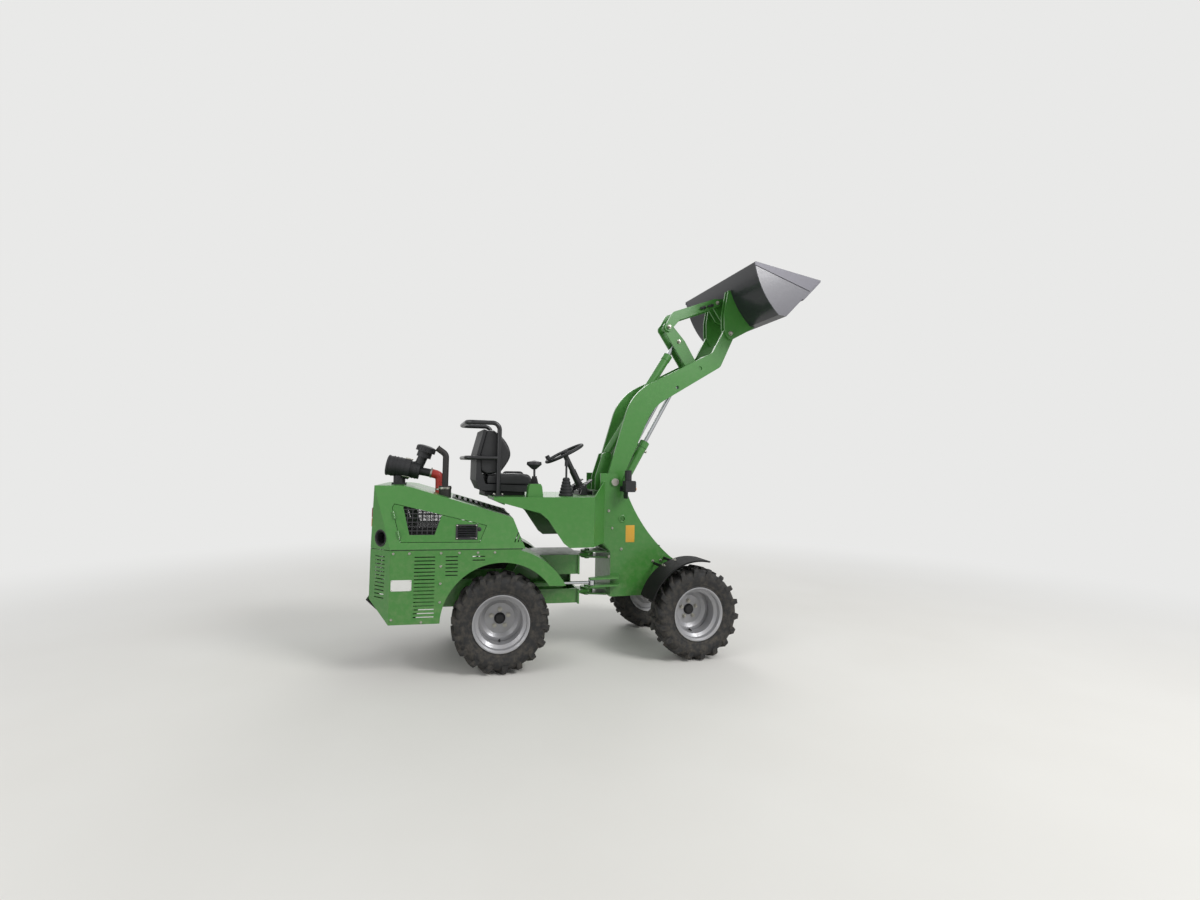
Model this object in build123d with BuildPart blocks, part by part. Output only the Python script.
"""Compact articulated wheel loader, in millimetres.

Everything is drawn on a straight machine: x forward from the articulation pivot, y to the
left, z up from the ground. At the end the front half is turned about the pivot by the
steering angle at rest, and the whole is moved so that the origin is the bottom centre of
its box.
"""
from build123d import *
from math import atan2, cos, degrees, hypot, radians, sin, sqrt
import os

# ---------------------------------------------------------------- driving dimensions
steer_at_rest = 5.0          # the front half stands turned to the left by this angle
half_wheelbase = 800.0       # pivot to either axle
half_track = 520.0           # machine centre to the middle of a tyre
pin_clearance = 0.3          # radial play of every pin in its bore
seat_gap = 0.3               # play between pieces that are bolted or set on each other
move_gap = 5.0               # least play between pieces that move past each other
plate = 4.0                  # sheet metal of the hood and the side panels

# wheels
tyre_radius = 385.0
tyre_width = 248.0
lug_height = 26.0
lug_count = 18               # pairs of lugs around one tyre
lug_width = 40.0
rim_radius = 222.0
rim_width = 224.0
rim_wall = 6.0
bead_radius = 208.0
well_radius = 180.0
disc_recess = 195.0          # from the outer rim edge in to the disc
disc_thickness = 8.0
hub_hole_radius = 32.0
stud_circle_radius = 70.0
stud_radius = 9.0
stud_count = 5
axle_height = tyre_radius

# rear chassis
chassis_half_width = 235.0
chassis_wall = 12.0
chassis_bottom = 440.0
chassis_rear = -1640.0
chassis_front = -116.0
chassis_low_top = 660.0
chassis_high_top = 848.0
chassis_step_x = -600.0
flange_thickness = 14.0

# articulation
pivot_radius = 22.0
tongue_radius = 58.0
tongue_thickness = 25.0
tongue_low_z = 488.0
tongue_high_z = 812.0
fork_thickness = 15.0

# hood and panels
body_half_width = 600.0
seam_z = 955.0
seam_gap = 5.0
hood_top_z = 1437.0
hood_lean = 15.0             # degrees that the hood's sides lean inwards
hood_slope = 16.2            # degrees that the hood's top falls to the front
hood_nose_x = -722.0
hood_nose_z = 1195.0
hood_foot_x = -622.0
hood_rear_x = -1804.0
hood_rear_top_x = -1788.0
corner_cut = 166.0
panel_bottom_z = 401.0
panel_step_z = 573.0
arch_radius = 465.0
flare_radius = 575.0
flare_end_z = 660.0
louvre_height = 8.0

# front frame
tower_half_width = 215.0
tower_wall = 15.0
tower_bottom = 473.0
tower_top = 1553.0
tower_foot_x = 151.0
tower_back_x = 51.0
tower_nose_x = 900.0
boom_pivot = (183.0, 1475.0)
boom_pivot_radius = 28.0
lift_base = (110.0, 1130.0)
tilt_base = (161.0, 1701.0)

# boom
arm_outer = 190.0
arm_thickness = 25.0
boom_tip = (1344.0, 2910.0)
boom_tip_radius = 62.0
boom_foot_radius = 72.0
crank_pivot = (1037.0, 2555.0)
crank_mid = (874.0, 2824.0)
crank_top = (758.0, 2952.0)
lift_pin = (803.0, 2361.0)
link_end = (1275.0, 3235.0)
lift_cylinder_y = 110.0
link_pin_radius = 16.0
crank_pin_radius = 20.0
tip_pin_radius = 22.0

# bucket
bucket_heel = (1627.0, 2977.0)
bucket_angle = 45.0          # the floor's rise at rest
bucket_half_width = 675.0
bucket_wall = 8.0
bucket_floor = 400.0
bucket_edge = 539.0
bucket_depth = 557.0
bucket_lean = 120.0

# steering cylinder
steer_arm = (-45.0, -300.0)
steer_base = (-760.0, -285.0)
steer_z = 622.0

# platform
platform_half_width = 500.0
platform_top = 1356.0
platform_rear_x = -926.0
platform_fold_x = -95.0
platform_bottom = 945.0
platform_plate = 6.0


# ---------------------------------------------------------------- small helpers
def slab(outline, y_from, y_to, mode=Mode.ADD):
    """An upright plate: an outline of (x, z) corners, from one y to a larger one."""
    with BuildSketch(Plane.XZ.offset(-y_to)) as profile:
        with BuildLine():
            Polyline(*outline, close=True)
        make_face()
    extrude(profile.sketch, amount=y_to - y_from, mode=mode)


def block(x, y, z, mode=Mode.ADD):
    """A box between (from, to) pairs along x, y and z."""
    with Locations(((x[0] + x[1]) / 2, (y[0] + y[1]) / 2, (z[0] + z[1]) / 2)):
        Box(x[1] - x[0], y[1] - y[0], z[1] - z[0], mode=mode)


def bar(start, end, radius, mode=Mode.ADD):
    """A round bar between two points."""
    along = Vector(*end) - Vector(*start)
    with BuildSketch(Plane(origin=start, z_dir=along)) as profile:
        Circle(radius)
    extrude(profile.sketch, amount=along.length, mode=mode)


def cross_pin(point, y_from, y_to, radius, mode=Mode.ADD):
    """A round bar along y at an (x, z) point."""
    bar((point[0], y_from, point[1]), (point[0], y_to, point[1]), radius, mode)


def both_sides(y_from, y_to):
    """The two (from, to) spans of y, right and left, of a piece that both sides have."""
    return ((-y_to, -y_from), (y_from, y_to))


def turned(point, angle, centre=(0.0, 0.0)):
    """A plane point turned about a centre, counter-clockwise in degrees."""
    dx, dy = point[0] - centre[0], point[1] - centre[1]
    c, s = cos(radians(angle)), sin(radians(angle))
    return (centre[0] + dx * c - dy * s, centre[1] + dx * s + dy * c)


def direction(start, end):
    """Length and angle in degrees of the line between two plane points."""
    return hypot(end[0] - start[0], end[1] - start[1]), degrees(
        atan2(end[1] - start[1], end[0] - start[0])
    )


pieces = {}                  # node name: (part, stands on the front half)


def keep(builder, name, front):
    """Notes a finished piece, to be placed and written at the end."""
    pieces[name] = (builder.part, front)


# ---------------------------------------------------------------- rear chassis
tongue_levels = (tongue_low_z, tongue_high_z)
slot_low, slot_high = steer_z - 62, steer_z + 62
slot_back = -470.0
panel_outriggers = ((-1480.0, 480.0), (-556.0, 830.0))

with BuildPart() as rear_chassis:
    for span in both_sides(chassis_half_width - chassis_wall, chassis_half_width):
        slab(
            [
                (chassis_rear, chassis_bottom),
                (chassis_front, chassis_bottom),
                (chassis_front, chassis_high_top),
                (chassis_step_x, chassis_high_top),
                (chassis_step_x - 120, chassis_low_top),
                (chassis_rear, chassis_low_top),
            ],
            *span,
        )
    inner = chassis_half_width - chassis_wall
    block((chassis_rear, chassis_rear + 12), (-inner, inner), (chassis_bottom, chassis_low_top))
    block((chassis_step_x, chassis_front), (-inner, inner),
          (chassis_high_top - 10, chassis_high_top))
    block((-560, chassis_front), (-inner, inner), (chassis_bottom, chassis_bottom + 10))
    # front flange with its edges standing out past the side plates
    block((chassis_front - flange_thickness, chassis_front),
          (-chassis_half_width - 20, chassis_half_width + 20), (chassis_bottom - 6, chassis_high_top))
    block((chassis_front - flange_thickness, chassis_front), (-inner + 60, inner - 60),
          (tongue_low_z + 60, tongue_high_z - 40), mode=Mode.SUBTRACT)
    # way of the steering cylinder through the right side plate
    block((slot_back, chassis_front), (-chassis_half_width - 20, -inner + 90),
          (slot_low, slot_high), mode=Mode.SUBTRACT)
    for level in tongue_levels:
        with BuildSketch(Plane.XY.offset(level)) as tongue:
            with BuildLine():
                Polyline((chassis_front - 5, -110), (0, -tongue_radius), (0, tongue_radius),
                         (chassis_front - 5, 110), close=True)
            make_face()
            Circle(tongue_radius)
            Circle(pivot_radius + pin_clearance, mode=Mode.SUBTRACT)
        extrude(tongue.sketch, amount=tongue_thickness)
    # outriggers that carry the side panels
    for x, z in panel_outriggers:
        for span in both_sides(chassis_half_width - 1, body_half_width - plate - seat_gap):
            cross_pin((x, z), *span, 14)
    # steering cylinder's bracket on the right side
    for z in (steer_z - 34, steer_z + 26):
        block((steer_base[0] - 35, steer_base[0] + 35), (steer_base[1] - 30, -chassis_half_width + 1),
              (z, z + 8))
    bar((steer_base[0], steer_base[1], steer_z - 34), (steer_base[0], steer_base[1], steer_z + 34), 12)
    # tow pin bracket at the rear
    for z in (chassis_bottom + 20, chassis_bottom + 90):
        block((chassis_rear - 110, chassis_rear + 1), (-45, 45), (z, z + 14))
        bar((chassis_rear - 70, 0, z - 1), (chassis_rear - 70, 0, z + 15), 15, mode=Mode.SUBTRACT)
keep(rear_chassis, "rear_chassis", False)

# ---------------------------------------------------------------- engine hood and doors
hood_fall = sin(radians(hood_slope)) / cos(radians(hood_slope))
hood_flat_end_x = hood_nose_x - (hood_top_z - hood_nose_z) / hood_fall
lean_in = (hood_top_z - seam_z) * sin(radians(hood_lean)) / cos(radians(hood_lean))
corner_x = hood_rear_x + corner_cut
corner_y = body_half_width - corner_cut
exhaust_x, exhaust_y = -1262.0, -290.0
exhaust_sleeve = 50.0


def side_plane(side, depth=0.0):
    """The leaning plane of a hood side, facing out; depth is measured inwards."""
    out = Vector(0, side * cos(radians(hood_lean)), sin(radians(hood_lean)))
    origin = Vector(0, side * body_half_width, seam_z) - out * depth
    return Plane(origin=origin, x_dir=(1, 0, 0), z_dir=out)


def hood_form(depth):
    """The closed hood body, drawn in by a depth on every face but its open bottom."""
    slant = depth / cos(radians(hood_slope))
    with BuildPart() as form:
        with BuildSketch(Plane.XZ.offset(-body_half_width)) as profile:
            with BuildLine():
                Polyline(
                    (hood_rear_x + depth, seam_z),
                    (hood_rear_top_x + depth, hood_top_z - depth),
                    (hood_flat_end_x, hood_top_z - depth),
                    (hood_nose_x - depth, hood_nose_z - slant + depth * hood_fall),
                    (hood_foot_x - depth, seam_z),
                    close=True,
                )
            make_face()
            fillet(profile.vertices().sort_by(Axis.X)[2], 400)
            fillet(profile.vertices().sort_by(Axis.X)[-2], 30 - depth)
        extrude(profile.sketch, amount=2 * body_half_width)
        for side in (-1, 1):
            split(bisect_by=side_plane(side, depth), keep=Keep.BOTTOM)
            corner = Vector(corner_x, side * body_half_width, seam_z)
            inner_corner = Vector(hood_rear_x, side * corner_y, seam_z)
            apex = Vector(hood_rear_top_x, side * (body_half_width - lean_in), hood_top_z)
            out = (inner_corner - corner).cross(apex - corner).normalized()
            if out.X > 0:
                out = out * -1
            split(bisect_by=Plane(origin=corner - out * depth, z_dir=out), keep=Keep.BOTTOM)
    return form.part


door_outline = [(-1632, 1300), (-925, 1135), (-978, 1006), (-1572, 1010), (-1648, 1270)]
mesh_outline = [(-1565, 1275), (-1540, 1287), (-1270, 1222), (-1322, 1065), (-1508, 1065)]
vent_x = (-1150.0, -1010.0)
vent_z = (1040.0, 1130.0)
door_gap = 4.0
mesh_pitch = (38.0, 32.0)
mesh_web = 7.0
nose_slots = 3
port_radius = 55.0


def side_cut(outline, side):
    """A prism through one hood side from an (x, z) outline."""
    span = (-body_half_width - 50, -200) if side < 0 else (200, body_half_width + 50)
    slab(outline, *span, mode=Mode.SUBTRACT)


def on_side(x, z, side, lift=0.0):
    """The point of a hood side at x and z, lifted out of the face."""
    out = side_plane(side).z_dir
    y = side * (body_half_width - (z - seam_z) * sin(radians(hood_lean)) / cos(radians(hood_lean)))
    return Vector(x, y, z) + out * lift


knuckle_radius = 9.0
hinge_pin_radius = 5.0
knuckle_length = 30.0
hinge_stations = (0.22, 0.78)
knuckle_lift = 6.0


def hinge_point(share, side):
    """A point of the door's hinge line, from its top to its foot."""
    top, foot = door_outline[4], door_outline[3]
    x = top[0] + (foot[0] - top[0]) * share + 2
    z = top[1] + (foot[1] - top[1]) * share
    return on_side(x, z, side, knuckle_lift)


def hinge_line(side):
    """Direction of the door's hinge line, upwards."""
    return (hinge_point(0, side) - hinge_point(1, side)).normalized()


hood_skin = hood_form(0.0) - hood_form(plate)

with BuildPart() as engine_hood:
    add(hood_skin)
    for side in (-1, 1):
        side_cut(door_outline, side)
        for k in range(nose_slots):
            x, top = -712 + 26 * k, 1100 - 26 * k
            run = (top - 1005) * 0.4
            side_cut([(x + run, top), (x + run + 9, top), (x + 9, 1005), (x, 1005)], side)
        # dark round port in each rear corner facet
        centre = Vector(hood_rear_x + corner_cut / 2, side * (body_half_width - corner_cut / 2), 1040)
        out = Vector(-1, side, 0).normalized()
        bar(centre + out * 60, centre - out * 60, port_radius, mode=Mode.SUBTRACT)
        line = hinge_line(side)
        for share in hinge_stations:
            middle = hinge_point(share, side)
            reach = knuckle_length / 2 + 15
            bar(middle - line * (knuckle_length / 2 + 1), middle + line * (knuckle_length / 2 + 1),
                knuckle_radius + 1.5, mode=Mode.SUBTRACT)
            bar(middle - line * reach, middle + line * reach, hinge_pin_radius)
            for end in (-1, 1):
                near = middle + line * (end * (knuckle_length / 2 + 1))
                bar(near, near + line * (end * 14), knuckle_radius)
    bar((exhaust_x, exhaust_y, 1200), (exhaust_x, exhaust_y, hood_top_z + 10),
        exhaust_sleeve + seat_gap, mode=Mode.SUBTRACT)
    # louvred air outlet along the middle of the sloping top
    for k in range(9):
        x = -1180 + k * 48
        block((x, x + 24), (-260, 260), (1150, 1450), mode=Mode.SUBTRACT)
keep(engine_hood, "engine_hood", False)

for side, word in ((-1, "right"), (1, "left")):
    with BuildPart() as hood_door:
        with BuildSketch(Plane.XZ.offset(body_half_width + 50 if side < 0 else -200)) as outline:
            with BuildLine():
                Polyline(*door_outline, close=True)
            make_face()
            offset(amount=-door_gap, kind=Kind.INTERSECTION)
        extrude(outline.sketch, amount=-(body_half_width - 150))
        add(hood_skin, mode=Mode.INTERSECT)
        side_cut([(vent_x[0], vent_z[0]), (vent_x[1], vent_z[0]), (vent_x[1], vent_z[1]),
                  (vent_x[0], vent_z[1])], side)
        # expanded metal window: bars are left between rows of small cuts
        with BuildSketch(Plane.XZ) as window:
            with Locations((-1415, 1176)):
                with GridLocations(mesh_pitch[0], mesh_pitch[1], 8, 7):
                    Rectangle(mesh_pitch[0] - mesh_web, mesh_pitch[1] - mesh_web)
            with BuildLine():
                Polyline(*mesh_outline, close=True)
            make_face(mode=Mode.INTERSECT)
        reach = body_half_width + 50
        extrude(window.sketch, amount=reach if side < 0 else -reach, mode=Mode.SUBTRACT)
        line = hinge_line(side)
        for share in hinge_stations:
            middle = hinge_point(share, side)
            for end in (-1, 1):
                near = middle + line * (end * (knuckle_length / 2))
                bar(near, near + line * (end * 17), knuckle_radius + 1.5, mode=Mode.SUBTRACT)
            bar(middle - line * (knuckle_length / 2), middle + line * (knuckle_length / 2),
                knuckle_radius)
            bar(middle - line * 60, middle + line * 60, hinge_pin_radius + pin_clearance,
                mode=Mode.SUBTRACT)
    keep(hood_door, f"hood_door_{word}", False)

# ---------------------------------------------------------------- lower side panels
arch_centre = (-half_wheelbase, axle_height)
panel_top = seam_z - seam_gap
flare_top_x = arch_centre[0] + sqrt(flare_radius**2 - (panel_top - arch_centre[1]) ** 2)
flare_end_x = arch_centre[0] + sqrt(flare_radius**2 - (flare_end_z - arch_centre[1]) ** 2)
arch_end_x = arch_centre[0] + sqrt(arch_radius**2 - (flare_end_z - arch_centre[1]) ** 2)
arch_foot_x = arch_centre[0] - sqrt(arch_radius**2 - (panel_bottom_z - arch_centre[1]) ** 2)
flare_inner_y = 250.0
arch_lip = 45.0


def arc_point(radius, angle):
    """A point on a circle about the rear axle."""
    return (arch_centre[0] + radius * cos(radians(angle)),
            arch_centre[1] + radius * sin(radians(angle)))


def angle_at(radius, z):
    """Angle at which a circle about the rear axle reaches a height, on its front side."""
    return degrees(atan2(z - arch_centre[1], sqrt(radius**2 - (z - arch_centre[1]) ** 2)))


def band(radius, thickness, angle_from, angle_to, y_from, y_to):
    """A curved strip about the rear axle."""
    middle = (angle_from + angle_to) / 2
    with BuildSketch(Plane.XZ.offset(-y_to)) as strip:
        with BuildLine():
            ThreePointArc(arc_point(radius, angle_from), arc_point(radius, middle),
                          arc_point(radius, angle_to))
            Line(arc_point(radius, angle_to), arc_point(radius + thickness, angle_to))
            ThreePointArc(arc_point(radius + thickness, angle_to),
                          arc_point(radius + thickness, middle),
                          arc_point(radius + thickness, angle_from))
            Line(arc_point(radius + thickness, angle_from), arc_point(radius, angle_from))
        make_face()
    extrude(strip.sketch, amount=y_to - y_from)


# banks of louvres: first x, last x, top row z, rows
side_louvres = ((-1462, -1310, 905, 17), (-1232, -1140, 905, 6), (-1030, -935, 905, 2))
louvre_pitch = 28.0
facet_louvres = 12

for side, word in ((-1, "right"), (1, "left")):
    outer = side * body_half_width
    inner = side * (body_half_width - plate)
    y_low, y_high = min(outer, inner), max(outer, inner)
    with BuildPart() as side_panel:
        with BuildSketch(Plane.XZ.offset(-y_high)) as face:
            with BuildLine():
                Polyline((arch_foot_x, panel_bottom_z), (corner_x, panel_bottom_z),
                         (corner_x, panel_top), (flare_top_x, panel_top))
                ThreePointArc((flare_top_x, panel_top), arc_point(flare_radius, 50),
                              (flare_end_x, flare_end_z))
                Line((flare_end_x, flare_end_z), (arch_end_x, flare_end_z))
                ThreePointArc((arch_end_x, flare_end_z), arc_point(arch_radius, 90),
                              (arch_foot_x, panel_bottom_z))
            make_face()
        extrude(face.sketch, amount=plate)
        # rear corner facet
        with BuildSketch(Plane.XY.offset(panel_bottom_z)) as corner:
            with BuildLine():
                Polyline((corner_x, outer), (hood_rear_x, side * corner_y),
                         (hood_rear_x + plate * 1.4, side * corner_y),
                         (corner_x + plate * 0.4, inner), close=True)
            make_face()
        extrude(corner.sketch, amount=panel_top - panel_bottom_z)
        wedge = [(hood_rear_x - 5, panel_bottom_z - 5), (corner_x, panel_bottom_z - 5),
                 (corner_x, panel_bottom_z), (hood_rear_x - 5, panel_step_z)]
        slab(wedge, -body_half_width - 5, body_half_width + 5, mode=Mode.SUBTRACT)
        for x_from, x_to, z_top, rows in side_louvres:
            for row in range(round(rows)):
                z = z_top - row * louvre_pitch
                block((x_from, x_to), (y_low - 2, y_high + 2), (z - louvre_height, z),
                      mode=Mode.SUBTRACT)
        for row in range(round(facet_louvres)):
            z = side_louvres[0][2] - row * louvre_pitch
            middle = ((corner_x + hood_rear_x) / 2, side * (body_half_width + corner_y) / 2)
            with Locations(Location((middle[0], middle[1], z - louvre_height / 2), (0, 0, -side * 135))):
                Box(110, 30, louvre_height, mode=Mode.SUBTRACT)
        top_angle = angle_at(flare_radius, panel_top)
        end_angle = angle_at(flare_radius, flare_end_z)
        arch_from = angle_at(arch_radius, flare_end_z)
        arch_to = 180 - angle_at(arch_radius, panel_bottom_z)
        span = (min(outer, side * flare_inner_y), max(outer, side * flare_inner_y))
        band(flare_radius - plate, plate, end_angle, top_angle, *span)
        lip = (min(outer, outer - side * arch_lip), max(outer, outer - side * arch_lip))
        band(arch_radius, plate, arch_from, arch_to, *lip)
        # strip that the hood's edge rests on
        strip = sorted((side * (body_half_width - 11), side * (body_half_width - 2)))
        block((corner_x + 20, hood_foot_x - 30), strip, (panel_top - 20, seam_z - seat_gap))
        # closing plate at the flare's foot
        block((arch_end_x, flare_end_x), span, (flare_end_z, flare_end_z + plate))
    keep(side_panel, f"side_panel_{word}", False)

with BuildPart() as rear_panel:
    block((hood_rear_x, hood_rear_x + plate), (-corner_y + 1, corner_y - 1), (panel_step_z, panel_top))
    for row in range(10):
        z = 900 - row * louvre_pitch
        for y in (-210, 210):
            block((hood_rear_x - 2, hood_rear_x + plate + 2), (y - 130, y + 130),
                  (z - louvre_height, z), mode=Mode.SUBTRACT)
    for y in (-200, 200):
        block((hood_rear_x + plate - 1, chassis_rear - seat_gap), (y - 20, y + 20), (600, 630))
keep(rear_panel, "rear_panel", False)

with BuildPart() as underguard:
    slab([(hood_rear_x - 18, panel_step_z - 6), (corner_x, panel_bottom_z - 6),
          (corner_x + 180, panel_bottom_z - 6), (corner_x + 180, panel_bottom_z - 16),
          (corner_x - 5, panel_bottom_z - 16), (hood_rear_x - 22, panel_step_z - 14)],
         -corner_y, corner_y)
    for span in both_sides(chassis_half_width - 20, chassis_half_width + 8):
        block((corner_x + 60, corner_x + 140), span, (panel_bottom_z - 7, chassis_bottom - seat_gap))
    # the tow bracket comes out through a window
    block((chassis_rear - 140, chassis_rear + 5), (-55, 55), (chassis_bottom, 600), mode=Mode.SUBTRACT)
keep(underguard, "underguard", False)

# ---------------------------------------------------------------- engine and its parts
with BuildPart() as engine_block:
    block((-1560, -1080), (-200, 200), (500, 1080))
    fillet(engine_block.edges().filter_by(Axis.Z), 30)
    for span in both_sides(195, chassis_half_width):
        for x in (-1500, -1140):
            block((x - 30, x + 30), span, (chassis_low_top + seat_gap, chassis_low_top + 40))
keep(engine_block, "engine_block", False)

filter_y = -120.0
filter_start = (-1738.0, 1597.0)
filter_end = (-1414.0, 1538.0)
cap_centre = (-1430.0, 1712.0)


def filter_point(share, lift=0.0):
    """A point along the air cleaner's axis."""
    return Vector(filter_start[0] + (filter_end[0] - filter_start[0]) * share, filter_y,
                  filter_start[1] + (filter_end[1] - filter_start[1]) * share + lift)


with BuildPart() as air_cleaner:
    bar(filter_point(0), filter_point(0.45), 82)
    bar(filter_point(0.44), filter_point(0.56), 88)
    bar(filter_point(0.55), filter_point(0.8), 70)
    bar(filter_point(0.78), filter_point(1.12), 34)
    foot = filter_point(0.3)
    bar((foot.X, filter_y, hood_top_z + seat_gap), (foot.X, filter_y, foot.Z), 48)
    block((foot.X - 56, foot.X + 56), (filter_y - 56, filter_y + 56),
          (hood_top_z + seat_gap, hood_top_z + 14))
    neck = filter_point(0.72)
    bar((neck.X, filter_y, neck.Z), (cap_centre[0] - 20, filter_y, cap_centre[1] - 30), 40)
    bar((cap_centre[0] - 22, filter_y, cap_centre[1] - 48), (cap_centre[0] - 8, filter_y, cap_centre[1]), 60)
    bar((cap_centre[0] - 8, filter_y, cap_centre[1]), (cap_centre[0] + 3, filter_y, cap_centre[1] + 38), 78)
keep(air_cleaner, "air_cleaner", False)


def hood_height(x):
    """Height of the hood's sloping top."""
    return min(hood_top_z, hood_nose_z + (hood_nose_x - x) * hood_fall)


with BuildPart() as exhaust:
    foot = hood_height(exhaust_x) - 20
    bar((exhaust_x, exhaust_y, foot), (exhaust_x, exhaust_y, foot + 100), exhaust_sleeve)
    with BuildLine() as path:
        FilletPolyline((exhaust_x, exhaust_y, foot + 90), (exhaust_x, exhaust_y, 1690),
                       (exhaust_x - 70, exhaust_y, 1740), radius=50)
    with BuildSketch(Plane(origin=(exhaust_x, exhaust_y, foot + 90), z_dir=(0, 0, 1))):
        Circle(25)
        Circle(22, mode=Mode.SUBTRACT)
    sweep(path=path.line)
keep(exhaust, "exhaust", False)

with BuildPart() as rear_lamps:
    for y in (-330, 330):
        block((hood_rear_top_x - 22, hood_rear_top_x + 1), (y - 32, y + 32), (1100, 1260))
    add(hood_form(-seat_gap), mode=Mode.SUBTRACT)
keep(rear_lamps, "rear_lamps", False)

# ---------------------------------------------------------------- axles
disc_y = half_track + rim_width / 2 - disc_recess      # outer face of the wheel disc
hub_face_y = disc_y - disc_thickness - seat_gap


def axle_shape(x, seat_z):
    """A driven axle: round housing, hubs with flanges, and the pads it hangs by."""
    with BuildPart() as axle:
        bar((x, -hub_face_y + 30, axle_height), (x, hub_face_y - 30, axle_height), 48)
        bar((x, -120, axle_height), (x, 120, axle_height), 84)
        bar((x, -70, axle_height), (x, 70, axle_height), 115)
        for y in (-1, 1):
            bar((x, y * (hub_face_y - 90), axle_height), (x, y * (hub_face_y - 20), axle_height), 92)
            bar((x, y * (hub_face_y - 22), axle_height), (x, y * hub_face_y, axle_height), 100)
            bar((x, y * (hub_face_y - 5), axle_height), (x, y * (disc_y + 14), axle_height),
                hub_hole_radius - seat_gap - 2)
            block((x - 60, x + 60), (min(y * 195, y * 235), max(y * 195, y * 235)),
                  (axle_height, seat_z - seat_gap))
    return axle


rear_axle = axle_shape(-half_wheelbase, chassis_bottom)
keep(rear_axle, "rear_axle", False)
front_axle = axle_shape(half_wheelbase, tower_bottom)
keep(front_axle, "front_axle", True)

# ---------------------------------------------------------------- wheels
edge = rim_width / 2
rim_section = [
    (edge, rim_radius), (edge, rim_radius - 8), (edge - 12, bead_radius - rim_wall),
    (edge - 48, bead_radius - rim_wall - 3), (edge - 66, well_radius - rim_wall),
    (-edge + 66, well_radius - rim_wall), (-edge + 48, bead_radius - rim_wall - 3),
    (-edge + 12, bead_radius - rim_wall), (-edge, rim_radius - 8), (-edge, rim_radius),
    (-edge + 8, rim_radius), (-edge + 8, bead_radius), (-edge + 50, bead_radius - 3),
    (-edge + 68, well_radius), (edge - 68, well_radius), (edge - 50, bead_radius - 3),
    (edge - 8, bead_radius), (edge - 8, rim_radius),
]
half_width = tyre_width / 2
tread_radius = tyre_radius - lug_height
lug_reach = half_width + 4
foot = edge - 14                 # the bead slopes out past the rim flange without touching it
carcass_sides = 2 * lug_count

wheel_section = Plane(origin=(0, 0, 0), x_dir=(0, -1, 0), z_dir=(-1, 0, 0))
wheel_axis = Axis((0, 0, 0), (0, 1, 0))

with BuildPart() as rim:
    with BuildSketch(wheel_section) as section:
        with BuildLine():
            Polyline(*rim_section, close=True)
        make_face()
    revolve(section.sketch, axis=wheel_axis)
    # dished disc, set deep in from the outer edge
    face = edge - disc_recess
    with BuildSketch(wheel_section) as disc:
        with BuildLine():
            Polyline((face, hub_hole_radius), (face, 120), (face + 22, 150),
                     (face + 22, bead_radius - 12), (face + 14, bead_radius - 12),
                     (face + 14, 153), (face - disc_thickness, 122),
                     (face - disc_thickness, hub_hole_radius), close=True)
        make_face()
    revolve(disc.sketch, axis=wheel_axis)
    with BuildSketch(Plane.XZ.offset(face - 1)) as studs:
        with PolarLocations(stud_circle_radius, stud_count, start_angle=90):
            RegularPolygon(stud_radius + 3, 6)
    extrude(studs.sketch, amount=16)

# carcass, from the bead to the shoulder: distance from the middle, and radius at its corners
carcass_flat = cos(radians(180 / carcass_sides))
carcass = ((foot, (bead_radius + seat_gap) / carcass_flat), (half_width, bead_radius + 83),
           (half_width - 24, tread_radius - 7))
with BuildPart() as tyre:
    # its section is swept round a ring of as many flats as there are lugs
    with BuildSketch(Plane.XZ) as ring:
        RegularPolygon(tread_radius, carcass_sides)
    around = ring.sketch.faces()[0].outer_wire()
    flat = around.edges()[0]
    reach = (flat @ 0.5).length
    with BuildSketch(Plane(origin=flat @ 0.5, x_dir=(flat @ 0.5) / reach, z_dir=flat % 0.5)) as wall:
        with BuildLine():
            half = [(radius * carcass_flat - reach, y) for y, radius in carcass]
            Polyline(*half, *[(x, -y) for x, y in reversed(half)], close=True)
        make_face()
    sweep(wall.sketch, path=around, transition=Transition.RIGHT)
    # chevron lugs, alternating from one shoulder to the other
    lugs = []
    for hand in (-1, 1):
        for k in range(lug_count):
            turn = radians(360 / lug_count * (k + (0.5 if hand > 0 else 0)))
            out = Vector(cos(turn), 0, sin(turn))
            with BuildSketch(Plane(origin=out * (tread_radius - 26), x_dir=(0, 1, 0), z_dir=out)) as lug:
                with BuildLine():
                    Polyline((0, lug_width * 0.35), (hand * lug_reach, -lug_width * 1.25),
                             (hand * lug_reach, -lug_width * 0.25), (0, lug_width), close=True)
                make_face()
            lugs += lug.sketch.faces()
    extrude(lugs, amount=lug_height + 23)   # the lugs' corners end at the tyre's radius

for x in (-half_wheelbase, half_wheelbase):
    for side in (-1, 1):
        corner = ("rear" if x < 0 else "front") + ("_right" if side < 0 else "_left")
        place = (x, side * half_track, axle_height)
        pieces[f"rim_{corner}"] = (rim.part.moved(Location(place, (0, 0, 0 if side < 0 else 180))), x > 0)
        pieces[f"tyre_{corner}"] = (tyre.part.moved(Location(place)), x > 0)

# ---------------------------------------------------------------- front frame
tower_inner = tower_half_width - tower_wall
fork_gap = move_gap
bracket_half = 62.0
bracket_wall = 14.0
web = 8.0
shelf_z = tower_top - 153         # plate between the side plates, under the tilt cylinder's bracket

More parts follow.
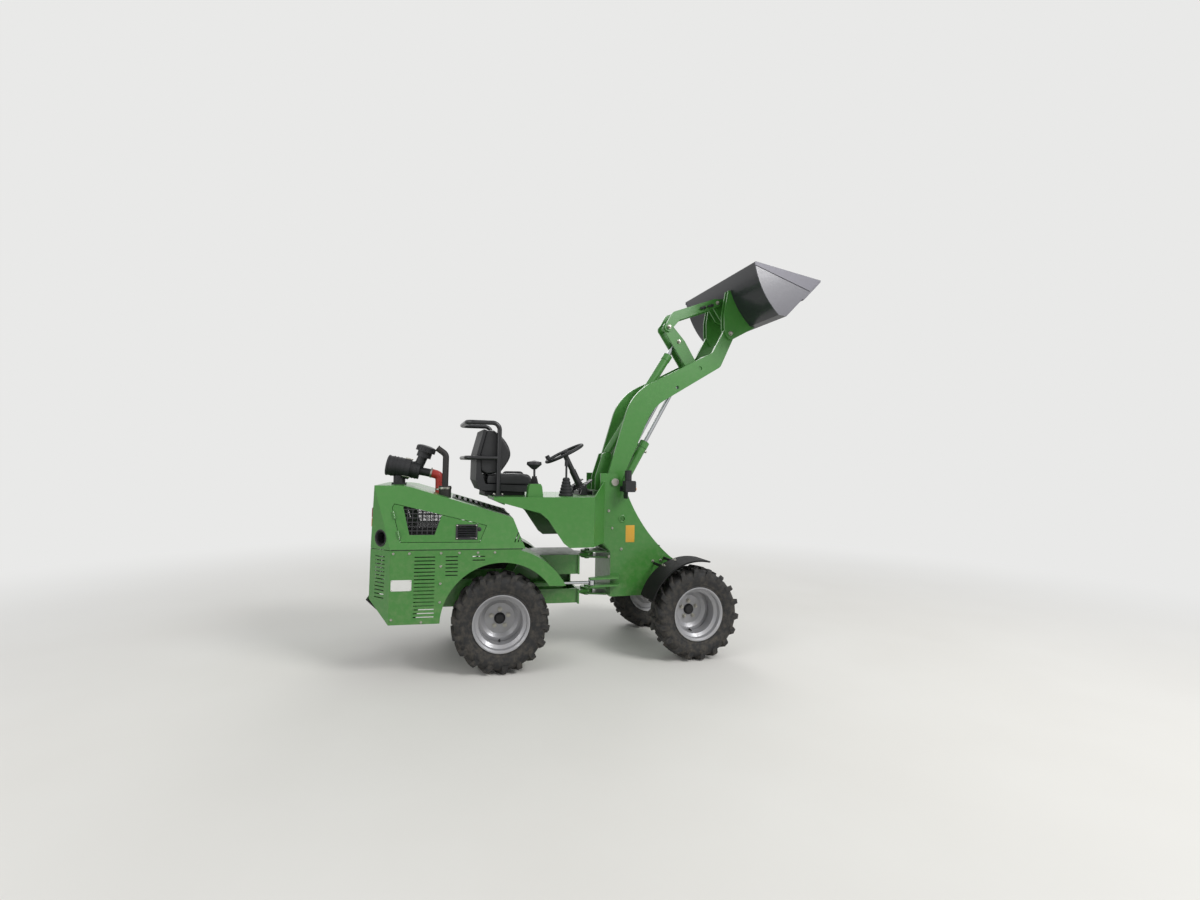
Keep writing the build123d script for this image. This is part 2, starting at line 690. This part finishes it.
with BuildPart() as front_frame:
    for span in both_sides(tower_inner, tower_half_width):
        with BuildSketch(Plane.XZ.offset(-span[1])) as side_plate:
            with BuildLine():
                Polyline((727, 806), (tower_nose_x, 690), (tower_nose_x, tower_bottom),
                         (tower_foot_x, tower_bottom), (tower_foot_x, 856), (tower_back_x, 960),
                         (tower_back_x, tower_top), (205, tower_top), (297, shelf_z - 6))
                ThreePointArc((297, shelf_z - 6), (486, 1057), (727, 806))
            make_face()
            with Locations((258, 1151)):
                Circle(22, mode=Mode.SUBTRACT)
        extrude(side_plate.sketch, amount=tower_wall)
    # rear wall, floor and webs between the side plates
    block((tower_foot_x, tower_foot_x + 12), (-tower_inner, tower_inner), (tower_bottom, 870))
    block((tower_foot_x, tower_nose_x - 10), (-tower_inner, tower_inner),
          (tower_bottom, tower_bottom + 10))
    block((tower_back_x, tower_back_x + web), (-tower_inner, tower_inner), (960, shelf_z))
    slab([(tower_back_x, 952), (tower_back_x, 962), (tower_foot_x + 12, 872), (tower_foot_x, 862)],
         -tower_inner, tower_inner)
    block((tower_back_x, 120), (-tower_inner, tower_inner), (shelf_z - web, shelf_z))
    # forks that hold the pivot tongues
    for level in tongue_levels:
        for z in (level - fork_gap - fork_thickness, level + tongue_thickness + fork_gap):
            with BuildSketch(Plane.XY.offset(z)) as fork:
                with BuildLine():
                    Polyline((0, -tongue_radius), (tower_foot_x + 1, -120), (tower_foot_x + 1, 120),
                             (0, tongue_radius), close=True)
                make_face()
                Circle(tongue_radius)
            extrude(fork.sketch, amount=fork_thickness)
        bar((0, 0, level - fork_gap - fork_thickness - 12),
            (0, 0, level + tongue_thickness + fork_gap + fork_thickness + 12), pivot_radius)
    # steering arm: two plates at the right side
    for z in (steer_z - 24 - fork_thickness, steer_z + 24):
        with BuildSketch(Plane.XY.offset(z)) as arm:
            with BuildLine():
                Polyline((steer_arm[0], steer_arm[1] - 28), (tower_foot_x + 40, steer_arm[1] - 28),
                         (tower_foot_x + 90, -tower_half_width + 1), (tower_foot_x + 10, -tower_half_width + 1),
                         (steer_arm[0], steer_arm[1] + 28), close=True)
            make_face()
            with Locations(steer_arm):
                Circle(28)
        extrude(arm.sketch, amount=fork_thickness)
    # pins of the boom's foot and of the lift cylinders
    for side in (-1, 1):
        for point, reach, radius in ((boom_pivot, arm_outer - arm_thickness - 12, boom_pivot_radius),
                                     (lift_base, lift_cylinder_y - 62, crank_pin_radius)):
            ends = sorted((side * reach, side * tower_half_width))
            cross_pin(point, ends[0], ends[1], radius)
        head = sorted((side * tower_half_width, side * (tower_half_width + 10)))
        cross_pin(boom_pivot, head[0], head[1], 42)
        ends = sorted((side * (lift_cylinder_y - 64), side * (lift_cylinder_y - 52)))
        slab([(tower_back_x, 1060), (lift_base[0] + 34, 1100), (lift_base[0] + 34, 1160),
              (tower_back_x, 1200)], ends[0], ends[1])
    # bracket and pin of the tilt cylinder, above the boom's foot
    for span in both_sides(bracket_half - bracket_wall, bracket_half):
        slab([(tower_back_x, shelf_z - web), (112, shelf_z - web), (tilt_base[0] + 38, tilt_base[1] - 30),
              (tilt_base[0] + 38, tilt_base[1] + 30), (tilt_base[0], tilt_base[1] + 45),
              (tilt_base[0] - 42, tilt_base[1] + 30), (tower_back_x, 1520)], *span)
    cross_pin(tilt_base, -bracket_half - 8, bracket_half + 8, 18)
    # room for the axle's middle above the floor
    block((half_wheelbase - 125, tower_nose_x - 9), (-90, 90), (tower_bottom - 1, tower_bottom + 11),
          mode=Mode.SUBTRACT)
keep(front_frame, "front_frame", True)

with BuildPart() as front_fenders:
    for side in (-1, 1):
        span = sorted((side * 388, side * (half_track + tyre_width / 2 + 6)))
        centre = (half_wheelbase, axle_height)
        with BuildSketch(Plane.XZ.offset(-span[1])) as shell:
            with BuildLine():
                ring = [(centre[0] + r * cos(radians(a)), centre[1] + r * sin(radians(a)))
                        for r, a in ((440, 78), (440, 120), (440, 162), (448, 162), (448, 120), (448, 78))]
                ThreePointArc(*ring[:3])
                Line(ring[2], ring[3])
                ThreePointArc(*ring[3:])
                Line(ring[5], ring[0])
            make_face()
        extrude(shell.sketch, amount=span[1] - span[0])
        arm_span = sorted((side * (tower_half_width + seat_gap), side * 392))
        for a in (108, 122):
            point = (centre[0] + 430 * cos(radians(a)), centre[1] + 430 * sin(radians(a)))
            cross_pin(point, arm_span[0], arm_span[1], 12)
keep(front_fenders, "front_fenders", True)

# ---------------------------------------------------------------- platform
platform_edge = [
    (platform_rear_x, platform_top), (platform_rear_x, platform_top - 26), (-705, 1269), (-548, 1228),
    (-484, 1176), (-349, 982), (-300, platform_bottom), (platform_fold_x, platform_bottom),
    (platform_fold_x, platform_top),
]

with BuildPart() as platform:
    skin = platform_plate
    for span in both_sides(platform_half_width - skin, platform_half_width):
        slab(platform_edge, *span)
    block((platform_rear_x, platform_fold_x), (-platform_half_width, platform_half_width),
          (platform_top - skin, platform_top))
    for side in (-1, 1):
        # diagonal dash plate from the fold in to the tower's side
        y_out, y_in = side * platform_half_width, side * (tower_half_width + seat_gap)
        with BuildSketch(Plane.XY.offset(platform_bottom)) as diagonal:
            with BuildLine():
                Polyline((platform_fold_x - 1, y_out), (tower_back_x + 40, y_in),
                         (tower_back_x + 40 - 9, y_in), (platform_fold_x - 10, y_out), close=True)
            make_face()
        extrude(diagonal.sketch, amount=1480 - platform_bottom)
        with BuildSketch(Plane.YZ.offset(-250)) as top_cut:
            with BuildLine():
                Polyline((side * (platform_half_width + 5), platform_top),
                         (side * (platform_half_width - 20), platform_top),
                         (side * tower_half_width, 1481), (side * tower_half_width, 1500),
                         (side * (platform_half_width + 5), 1500), close=True)
            make_face()
        extrude(top_cut.sketch, amount=500, mode=Mode.SUBTRACT)
        # floor in front of the fold, and the lip that is bolted to the tower
        with BuildSketch(Plane.XY.offset(platform_top - skin)) as corner:
            with BuildLine():
                Polyline((platform_fold_x - 2, y_out - side * 8), (tower_back_x + 34, y_in),
                         (platform_fold_x - 2, y_in), close=True)
            make_face()
        extrude(corner.sketch, amount=skin)
        lip = sorted((y_in, y_in + side * skin))
        slab([(tower_back_x + 30, platform_bottom), (tower_back_x + 95, 870), (tower_back_x + 120, 880),
              (tower_back_x + 120, 1080), (tower_back_x + 30, 1080)], lip[0], lip[1])
    block((platform_fold_x - 5, tower_back_x - seat_gap), (-tower_half_width - 3, tower_half_width + 3),
          (platform_top - skin, platform_top))
    # cross ribs under the floor
    for x in (-840, -420):
        low = platform_top - 60 if x < -700 else platform_top - 90
        block((x - 4, x + 4), (-platform_half_width + 1, platform_half_width - 1), (low, platform_top - 1))
    # console for the joystick, welded on at the right side
    slab([(-650, platform_top - 1), (-522, platform_top - 1), (-532, 1440), (-545, 1462), (-628, 1462),
          (-640, 1440)], -470, -390)
keep(platform, "platform", True)

# ---------------------------------------------------------------- seat, rail and controls
seat_half = 240.0
with BuildPart() as seat_shell:
    block((-960, -620), (-190, 190), (platform_top + seat_gap, platform_top + 30))
    slab([(-1000, 1400), (-600, 1386), (-575, 1420), (-600, 1440), (-960, 1452), (-1000, 1560),
          (-1010, 1700), (-960, 1900), (-985, 1905), (-1038, 1700), (-1040, 1480)], -seat_half, seat_half)
    block((-940, -640), (-150, 150), (platform_top + 25, 1400))
    # armrest loop of the left side
    with BuildLine() as loop:
        FilletPolyline((-740, 262, 1420), (-740, 262, 1545), (-560, 262, 1545), (-540, 262, 1420), radius=30)
    with BuildSketch(Plane(origin=(-740, 262, 1420), z_dir=(0, 0, 1))):
        Circle(11)
    sweep(path=loop.line)
    block((-756, -522), (230, 278), (1400, 1424))
keep(seat_shell, "seat_shell", True)

with BuildPart() as seat_cushion:
    slab([(-955, 1452.5), (-600, 1440.5), (-572, 1470), (-585, 1515), (-640, 1530), (-940, 1520)],
         -seat_half + 12, seat_half - 12)
keep(seat_cushion, "seat_cushion", True)

with BuildPart() as seat_back_cushion:
    slab([(-945, 1535), (-850, 1545), (-775, 1640), (-760, 1730), (-835, 1850), (-910, 1895),
          (-960.6, 1895), (-1009.5, 1700), (-999.5, 1560)], -seat_half + 12, seat_half - 12)
keep(seat_back_cushion, "seat_back_cushion", True)

rail_radius = 19.0
rail_y = 265.0
rail_x = (-858.0, -1125.0)
rail_z = (1668.0, 1960.0)

with BuildPart() as guard_rail:
    foot = platform_top + seat_gap
    # the upper loop stands on its two uprights and runs round behind the seat
    with BuildLine() as hoop:
        FilletPolyline((rail_x[0], -rail_y, foot), (rail_x[0], -rail_y, rail_z[1]),
                       (rail_x[1], -rail_y, rail_z[1]), (rail_x[1], rail_y, rail_z[1]),
                       (rail_x[0], rail_y, rail_z[1]), (rail_x[0], rail_y, foot), radius=60)
    with BuildSketch(Plane(origin=(rail_x[0], -rail_y, foot), z_dir=(0, 0, 1))):
        Circle(rail_radius)
    sweep(path=hoop.line)
    with BuildLine() as middle:
        FilletPolyline((rail_x[0], -rail_y, rail_z[0]), (rail_x[1], -rail_y, rail_z[0]),
                       (rail_x[1], rail_y, rail_z[0]), (rail_x[0], rail_y, rail_z[0]), radius=60)
    with BuildSketch(Plane(origin=(rail_x[0], -rail_y, rail_z[0]), z_dir=(-1, 0, 0))):
        Circle(rail_radius - 3)
    sweep(path=middle.line)
    for y in (-rail_y, rail_y):
        block((rail_x[0] - 45, rail_x[0] + 45), (y - 35, y + 35), (foot, foot + 10))
keep(guard_rail, "guard_rail", True)

wheel_centre = (-228.0, 0.0, 1725.0)
wheel_ring_radius = 178.0
wheel_ring_sides = 32
wheel_tilt = 27.4
steer_axis = Vector(-sin(radians(wheel_tilt)), 0, cos(radians(wheel_tilt)))

with BuildPart() as steering_column:
    hub_low = Vector(*wheel_centre) - steer_axis * (28 + seat_gap)
    knee = Vector(*wheel_centre) - steer_axis * 190
    bar(hub_low, knee, 24)
    bar(knee + steer_axis * 20, (-50, 0, platform_top + 20), 30)
    block((-110, 20), (-80, 80), (platform_top + seat_gap, platform_top + 34))
    # foot pedals on both sides of the column, on one foot plate
    block((-125, -55), (-165, 165), (platform_top + seat_gap, platform_top + 10))
    for y in (-150, 150):
        slab([(-150, platform_top + 40), (-143, platform_top + 34), (-10, 1490), (-18, 1496)],
             y - 45, y + 45)
        slab([(-120, platform_top + seat_gap), (-60, platform_top + seat_gap), (-62, 1455), (-92, 1432)],
             y - 12, y + 12)
keep(steering_column, "steering_column", True)

with BuildPart() as steering_wheel:
    ring_plane = Plane(origin=wheel_centre, x_dir=(cos(radians(wheel_tilt)), 0, sin(radians(wheel_tilt))),
                       z_dir=steer_axis)
    with BuildSketch(ring_plane) as ring:
        RegularPolygon(wheel_ring_radius, wheel_ring_sides)
    around = ring.sketch.faces()[0].outer_wire()
    with BuildSketch(Plane(origin=around.edges()[0] @ 0.5, z_dir=around.edges()[0] % 0.5)) as tube:
        Circle(14)
    sweep(tube.sketch, path=around, transition=Transition.RIGHT)
    bar(Vector(*wheel_centre) - steer_axis * 28, Vector(*wheel_centre) + steer_axis * 6, 32)
    for angle in (90, 210, 330):
        spoke = ring_plane.from_local_coords(
            Vector(wheel_ring_radius * cos(radians(angle)), wheel_ring_radius * sin(radians(angle)), 0))
        bar(Vector(*wheel_centre) - steer_axis * 8, spoke, 9)
    knob = ring_plane.from_local_coords(
        Vector(wheel_ring_radius * cos(radians(200)), wheel_ring_radius * sin(radians(200)), 0))
    bar(knob - steer_axis * 11, knob + steer_axis * 48, 9)
    bar(knob + steer_axis * 24, knob + steer_axis * 58, 20)
keep(steering_wheel, "steering_wheel", True)

with BuildPart() as control_levers:
    bar((-590, -430, 1462 + seat_gap), (-592, -430, 1600), 9)
    bar((-590, -430, 1462 + seat_gap), (-590, -430, 1480), 26)
    with BuildSketch(Plane(origin=(-594, -430, 0), x_dir=(1, 0, 0), z_dir=(0, -1, 0))) as grip:
        with BuildLine():
            Polyline((0, 1575), (18, 1580), (62, 1618), (58, 1640), (0, 1652), close=True)
        make_face()
    revolve(grip.sketch, axis=Axis((-594, -430, 0), (0, 0, 1)))
    # lever in a bellows, in front of the seat
    rings = [(0, 1356 + seat_gap)]
    for k in range(6):
        z = platform_top + seat_gap + 26 * k
        rings += [(62 - 6 * k, z), (62 - 6 * k, z + 13), (52 - 6 * k, z + 26)]
    rings += [(0, rings[-1][1])]
    with BuildSketch(Plane(origin=(-278, -270, 0), x_dir=(1, 0, 0), z_dir=(0, -1, 0))) as bellows:
        with BuildLine():
            Polyline(*rings, close=True)
        make_face()
    revolve(bellows.sketch, axis=Axis((-278, -270, 0), (0, 0, 1)))
    bar((-278, -270, 1500), (-276, -262, 1625), 9)
    bar((-276, -262, 1610), (-275, -260, 1660), 16)
keep(control_levers, "control_levers", True)

with BuildPart() as front_lamps:
    for side in (-1, 1):
        y0, y1 = sorted((side * (tower_half_width + seat_gap + 12), side * 330))
        foot = sorted((side * (tower_half_width + seat_gap), side * (tower_half_width + 13)))
        block((232, 275), tuple(foot), (1396, 1440))
        block((235, 262), (y0, y1), (1400, 1412))
        z0, z1 = sorted((side * 262, side * 345))
        block((240, 330), (z0, z1), (1392, 1490))
        block((330, 338), (z0 + 6, z1 - 6), (1400, 1482))
        block((252, 262), (z0, z1), (1335, 1394))
        bar((278, side * 303, 1488), (278, side * 303, 1570), 30)
keep(front_lamps, "front_lamps", True)


# ---------------------------------------------------------------- cylinders
def cylinder_barrel(plane, reach, outer, bore, eye_half, pin, rod_radius):
    """A cylinder's barrel with its eye at the plane's origin and its axis along local x."""
    axis = Axis(plane.origin, plane.x_dir)
    with BuildPart() as barrel:
        with BuildSketch(plane) as section:
            with BuildLine():
                Polyline((pin + 20, 0), (pin + 20, outer - 6), (pin + 34, outer - 6), (pin + 34, outer - 4),
                         (reach - 60, outer - 4), (reach - 60, outer), (reach, outer),
                         (reach, rod_radius + pin_clearance), (reach - 45, rod_radius + pin_clearance),
                         (reach - 45, bore), (pin + 62, bore), (pin + 62, 0), close=True)
            make_face()
        revolve(section.sketch, axis=axis)
        with BuildSketch(plane.offset(-eye_half)) as eye:
            Circle(pin + 20)
            with Locations((pin + 20, 0)):
                Rectangle(40, 2 * pin + 20)
            Circle(pin + pin_clearance, mode=Mode.SUBTRACT)
        extrude(eye.sketch, amount=2 * eye_half)
    return barrel


def cylinder_rod(plane, tail, length, radius, eye_half, pin, pin_reach):
    """A rod from its hidden tail to its eye; the eye carries its own short pin."""
    axis = Axis(plane.origin, plane.x_dir)
    with BuildPart() as rod:
        with BuildSketch(plane) as section:
            with BuildLine():
                Polyline((tail, 0), (tail, radius), (length - pin - 10, radius), (length - pin - 10, 0),
                         close=True)
            make_face()
        revolve(section.sketch, axis=axis)
        eye_plane = Plane(origin=plane.from_local_coords(Vector(length, 0, 0)), x_dir=plane.x_dir,
                          z_dir=plane.z_dir)
        with BuildSketch(eye_plane.offset(-eye_half)) as eye:
            Circle(pin + 18)
        extrude(eye.sketch, amount=2 * eye_half)
        with BuildSketch(eye_plane.offset(-pin_reach[0])) as stub:
            Circle(pin)
        extrude(stub.sketch, amount=pin_reach[0] + pin_reach[1])
    return rod


def cylinder_plane(base, y, angle):
    """Plane at a cylinder's foot pin, local x along it, facing the right side."""
    c, s = cos(radians(angle)), sin(radians(angle))
    return Plane(origin=(base[0], y, base[1]), x_dir=(c, 0, s), z_dir=(0, -1, 0))


lift_length, lift_angle = direction(lift_base, lift_pin)
tilt_length, tilt_angle = direction(tilt_base, crank_mid)
lift_collar = 820.0          # foot pin to the end of the lift cylinder's barrel
lift_tail = 560.0            # foot pin to the rod's inner end, boom raised
tilt_collar = 1175.0
tilt_tail = 400.0
steer_collar = 495.0
steer_tail = 300.0
lift_eye_half = 26.0
tilt_eye_half = 28.0
arm_inner = arm_outer - arm_thickness
crank_inner, crank_outer = 50.0, 68.0
link_inner, link_outer = crank_outer + 2, crank_outer + 18
ear_inner, ear_outer = 35.0, 53.0

with BuildPart() as lift_barrels:
    for y in (-lift_cylinder_y, lift_cylinder_y):
        add(cylinder_barrel(cylinder_plane(lift_base, y, lift_angle), lift_collar, 45, 36,
                            lift_eye_half, crank_pin_radius, 18).part)
keep(lift_barrels, "lift_barrels", True)

with BuildPart() as lift_rods:
    outward = arm_inner - lift_cylinder_y - seat_gap
    for y, reach in ((-lift_cylinder_y, (lift_eye_half, outward)), (lift_cylinder_y, (outward, lift_eye_half))):
        add(cylinder_rod(cylinder_plane(lift_base, y, lift_angle), lift_tail, lift_length, 18,
                         lift_eye_half, crank_pin_radius, reach).part)
keep(lift_rods, "lift_rods", True)

tilt_plane = cylinder_plane(tilt_base, 0, tilt_angle)
tilt_barrel = cylinder_barrel(tilt_plane, tilt_collar, 44, 35, tilt_eye_half, 18, 20)
keep(tilt_barrel, "tilt_barrel", True)
tilt_rod = cylinder_rod(tilt_plane, tilt_tail, tilt_length, 20, crank_inner - 6, 18,
                        (crank_inner - 0.3, crank_inner - 0.3))
keep(tilt_rod, "tilt_rod", True)

# ---------------------------------------------------------------- boom
with BuildPart() as boom:
    for span in both_sides(arm_inner, arm_outer):
        with BuildSketch(Plane.XZ.offset(-span[1])) as arm:
            with BuildLine():
                Polyline(
                    (boom_pivot[0] - 73, boom_pivot[1]), (350, 2289), (1169, 2715),
                    (boom_tip[0] - 60, boom_tip[1] + 14), (boom_tip[0] + 60, boom_tip[1] - 14),
                    (1253, 2582), (560, 2166), (boom_pivot[0] + 69, boom_pivot[1]), close=True,
                )
            make_face()
            for point, radius in (((350, 2289), 480), ((560, 2166), 410), ((1169, 2715), 80),
                                  ((1253, 2582), 80)):
                fillet(arm.vertices().sort_by_distance((*point, 0))[0], radius)
            with Locations(boom_pivot):
                Circle(boom_foot_radius)
            with Locations(boom_tip):
                Circle(boom_tip_radius)
            with Locations(boom_pivot):
                Circle(boom_pivot_radius + pin_clearance, mode=Mode.SUBTRACT)
            with Locations(boom_tip):
                Circle(tip_pin_radius + pin_clearance, mode=Mode.SUBTRACT)
            with Locations(crank_pivot):
                Circle(crank_pin_radius + pin_clearance, mode=Mode.SUBTRACT)
            with Locations(lift_pin):
                Circle(16, mode=Mode.SUBTRACT)
        extrude(arm.sketch, amount=arm_thickness)
    for point, radius in (((352, 1800), 34), ((1215, 2690), 38)):
        cross_pin(point, -arm_inner - 1, arm_inner + 1, radius)
keep(boom, "boom", True)

# ---------------------------------------------------------------- tilt linkage
with BuildPart() as bell_crank:
    for span in both_sides(crank_inner, crank_outer):
        with BuildSketch(Plane.XZ.offset(-span[1])) as cheek:
            with BuildLine():
                Polyline((crank_pivot[0] - 62, crank_pivot[1] - 10), (crank_top[0] - 44, crank_top[1] - 20),
                         (crank_top[0] + 10, crank_top[1] + 48), (crank_top[0] + 52, crank_top[1] + 18),
                         (crank_mid[0] + 62, crank_mid[1] + 10), (crank_pivot[0] + 58, crank_pivot[1] + 20),
                         close=True)
            make_face()
            for point, radius in ((crank_pivot, 62), (crank_top, 48)):
                with Locations(point):
                    Circle(radius)
        extrude(cheek.sketch, amount=crank_outer - crank_inner)
    cross_pin(crank_pivot, -arm_outer + 8, arm_outer - 8, crank_pin_radius)
    cross_pin(crank_pivot, -arm_inner + 5, arm_inner - 5, 42)
    cross_pin(crank_top, -link_outer - 9, link_outer + 9, link_pin_radius)
    cross_pin(crank_top, -crank_inner - 1, crank_inner + 1, 30)
keep(bell_crank, "bell_crank", True)

with BuildPart() as tilt_link:
    # two bent straps outside the crank's cheeks, so that the cylinder passes between them
    for span in both_sides(link_inner, link_outer):
        with BuildSketch(Plane.XZ.offset(-span[1])) as strap:
            with BuildLine():
                Polyline((crank_top[0] - 36, crank_top[1] + 10), (crank_top[0] + 40, crank_top[1] + 150),
                         (link_end[0] - 20, link_end[1] + 42), (link_end[0], link_end[1] - 42),
                         (crank_top[0] + 120, crank_top[1] + 85), (crank_top[0] + 38, crank_top[1] - 10),
                         close=True)
            make_face()
            fillet(strap.vertices().sort_by_distance((crank_top[0] + 40, crank_top[1] + 150, 0))[0], 60)
            for point in (crank_top, link_end):
                with Locations(point):
                    Circle(40)
            with Locations(crank_top):
                Circle(link_pin_radius + pin_clearance, mode=Mode.SUBTRACT)
        extrude(strap.sketch, amount=link_outer - link_inner)
    for span in both_sides(ear_outer + seat_gap, link_outer + 9):
        cross_pin(link_end, *span, link_pin_radius)
keep(tilt_link, "tilt_link", True)

# ---------------------------------------------------------------- bucket and coupler
bucket_plane = Plane(
    origin=(bucket_heel[0], 0, bucket_heel[1]),
    x_dir=(cos(radians(bucket_angle)), 0, sin(radians(bucket_angle))),
    z_dir=(0, -1, 0),
)


def bucket_profile(depth, beyond=0.0):
    """The bucket's section: floor, curved back and open front, drawn in by a depth."""
    with BuildSketch(bucket_plane) as section:
        with BuildLine():
            Polyline((bucket_floor, 0), (20, 0), (-30, 60))
            ThreePointArc((-30, 60), (-6, 290), (bucket_lean, bucket_depth))
            Line((bucket_lean, bucket_depth), (bucket_floor, 0))
        make_face()
        if depth:
            offset(amount=-depth, kind=Kind.INTERSECTION)
    return section.sketch


with BuildPart() as bucket:
    extrude(bucket_profile(0), amount=bucket_half_width, both=True)
    with BuildSketch(bucket_plane) as hollow:
        with BuildLine():
            Polyline((bucket_floor + 80, bucket_wall), (24, bucket_wall), (-21, 62))
            ThreePointArc((-21, 62), (3, 288), (bucket_lean + 5, bucket_depth - 12))
            Line((bucket_lean + 5, bucket_depth - 12), (bucket_lean + 60, bucket_depth + 40))
            Line((bucket_lean + 60, bucket_depth + 40), (bucket_floor + 80, bucket_wall))
        make_face()
    extrude(hollow.sketch, amount=bucket_half_width - bucket_wall, both=True, mode=Mode.SUBTRACT)
    with BuildSketch(bucket_plane) as edge_plate:
        with BuildLine():
            Polyline((bucket_floor - 130, -14), (bucket_edge - 30, -14), (bucket_edge, 0),
                     (bucket_edge - 8, 4), (bucket_floor - 130, 4), close=True)
        make_face()
    extrude(edge_plate.sketch, amount=bucket_half_width, both=True)
keep(bucket, "bucket", True)

# outlines of the coupler's plates, from the boom's tip, and of its ears, from the link's pin;
# both run on into the bucket's back, which cuts them off
coupler_plate = [(-44, -20), (-60, 50), (-62, 180), (-19, 420), (76, 420), (336, 110), (216, 50),
                 (26, -55), (-14, -54)]
coupler_ear = [(-36, 10), (-10, 44), (125, 65), (285, -135), (125, -175), (55, -155), (-34, -26)]
coupler_tube = (56, 220)

with BuildPart() as quick_coupler:
    for low, high in ((arm_inner - 23, arm_inner - 6), (arm_outer + 6, arm_outer + 23)):
        for span in both_sides(low, high):
            slab([(boom_tip[0] + x, boom_tip[1] + z) for x, z in coupler_plate], *span)
    for span in both_sides(ear_inner, ear_outer):
        slab([(link_end[0] + x, link_end[1] + z) for x, z in coupler_ear], *span)
    cross_pin(boom_tip, -arm_outer - 30, -arm_inner + 24, tip_pin_radius)
    cross_pin(boom_tip, arm_inner - 24, arm_outer + 30, tip_pin_radius)
    cross_pin((boom_tip[0] + coupler_tube[0], boom_tip[1] + coupler_tube[1]),
              -arm_outer - 23, arm_outer + 23, 30)
    cross_pin(link_end, -ear_outer - 1, ear_outer + 1, link_pin_radius + pin_clearance, mode=Mode.SUBTRACT)
    with BuildSketch(bucket_plane) as behind:
        with BuildLine():
            Polyline((bucket_floor, -14 - seat_gap), (20, -14 - seat_gap), (-30 - seat_gap, 60))
            ThreePointArc((-30 - seat_gap, 60), (-6 - seat_gap, 290),
                          (bucket_lean - seat_gap, bucket_depth))
            Polyline((bucket_lean - seat_gap, bucket_depth), (bucket_lean + 300, bucket_depth + 200),
                     (bucket_floor + 300, -14 - seat_gap), (bucket_floor, -14 - seat_gap))
        make_face()
    extrude(behind.sketch, amount=400, both=True, mode=Mode.SUBTRACT)
keep(quick_coupler, "quick_coupler", True)

# ---------------------------------------------------------------- steering cylinder
arm_at_rest = turned(steer_arm, steer_at_rest)
steer_length, steer_angle = direction(steer_base, arm_at_rest)


def steering_plane():
    """Plane at the steering cylinder's foot pin, local x along it, facing up."""
    c, s = cos(radians(steer_angle)), sin(radians(steer_angle))
    return Plane(origin=(steer_base[0], steer_base[1], steer_z), x_dir=(c, s, 0), z_dir=(0, 0, 1))


steering_barrel = cylinder_barrel(steering_plane(), steer_collar, 30, 22, 18, 12, 12)
keep(steering_barrel, "steering_barrel", False)
steering_rod = cylinder_rod(steering_plane(), steer_tail, steer_length, 12, 18, 12, (23.5, 23.5))
keep(steering_rod, "steering_rod", False)

# ---------------------------------------------------------------- placing and writing
placed = {}
for name, (piece, front) in pieces.items():
    placed[name] = piece.rotate(Axis.Z, steer_at_rest) if front else piece
boxes = [piece.bounding_box() for piece in placed.values()]
low = Vector(*(min(getattr(box.min, c) for box in boxes) for c in "XYZ"))
high = Vector(*(max(getattr(box.max, c) for box in boxes) for c in "XYZ"))
origin = Vector((low.X + high.X) / 2, (low.Y + high.Y) / 2, low.Z)


def at_rest(x, y, z, front=True):
    """A point of the straight machine, where it stands in the finished part."""
    px, py = turned((x, y), steer_at_rest) if front else (x, y)
    return (px - origin.X, py - origin.Y, z - origin.Z)


os.makedirs("parts", exist_ok=True)
for name, piece in placed.items():
    finished = piece.moved(Location(-origin))
    finished.label = name
    export_step(finished, f"parts/{name}.step")
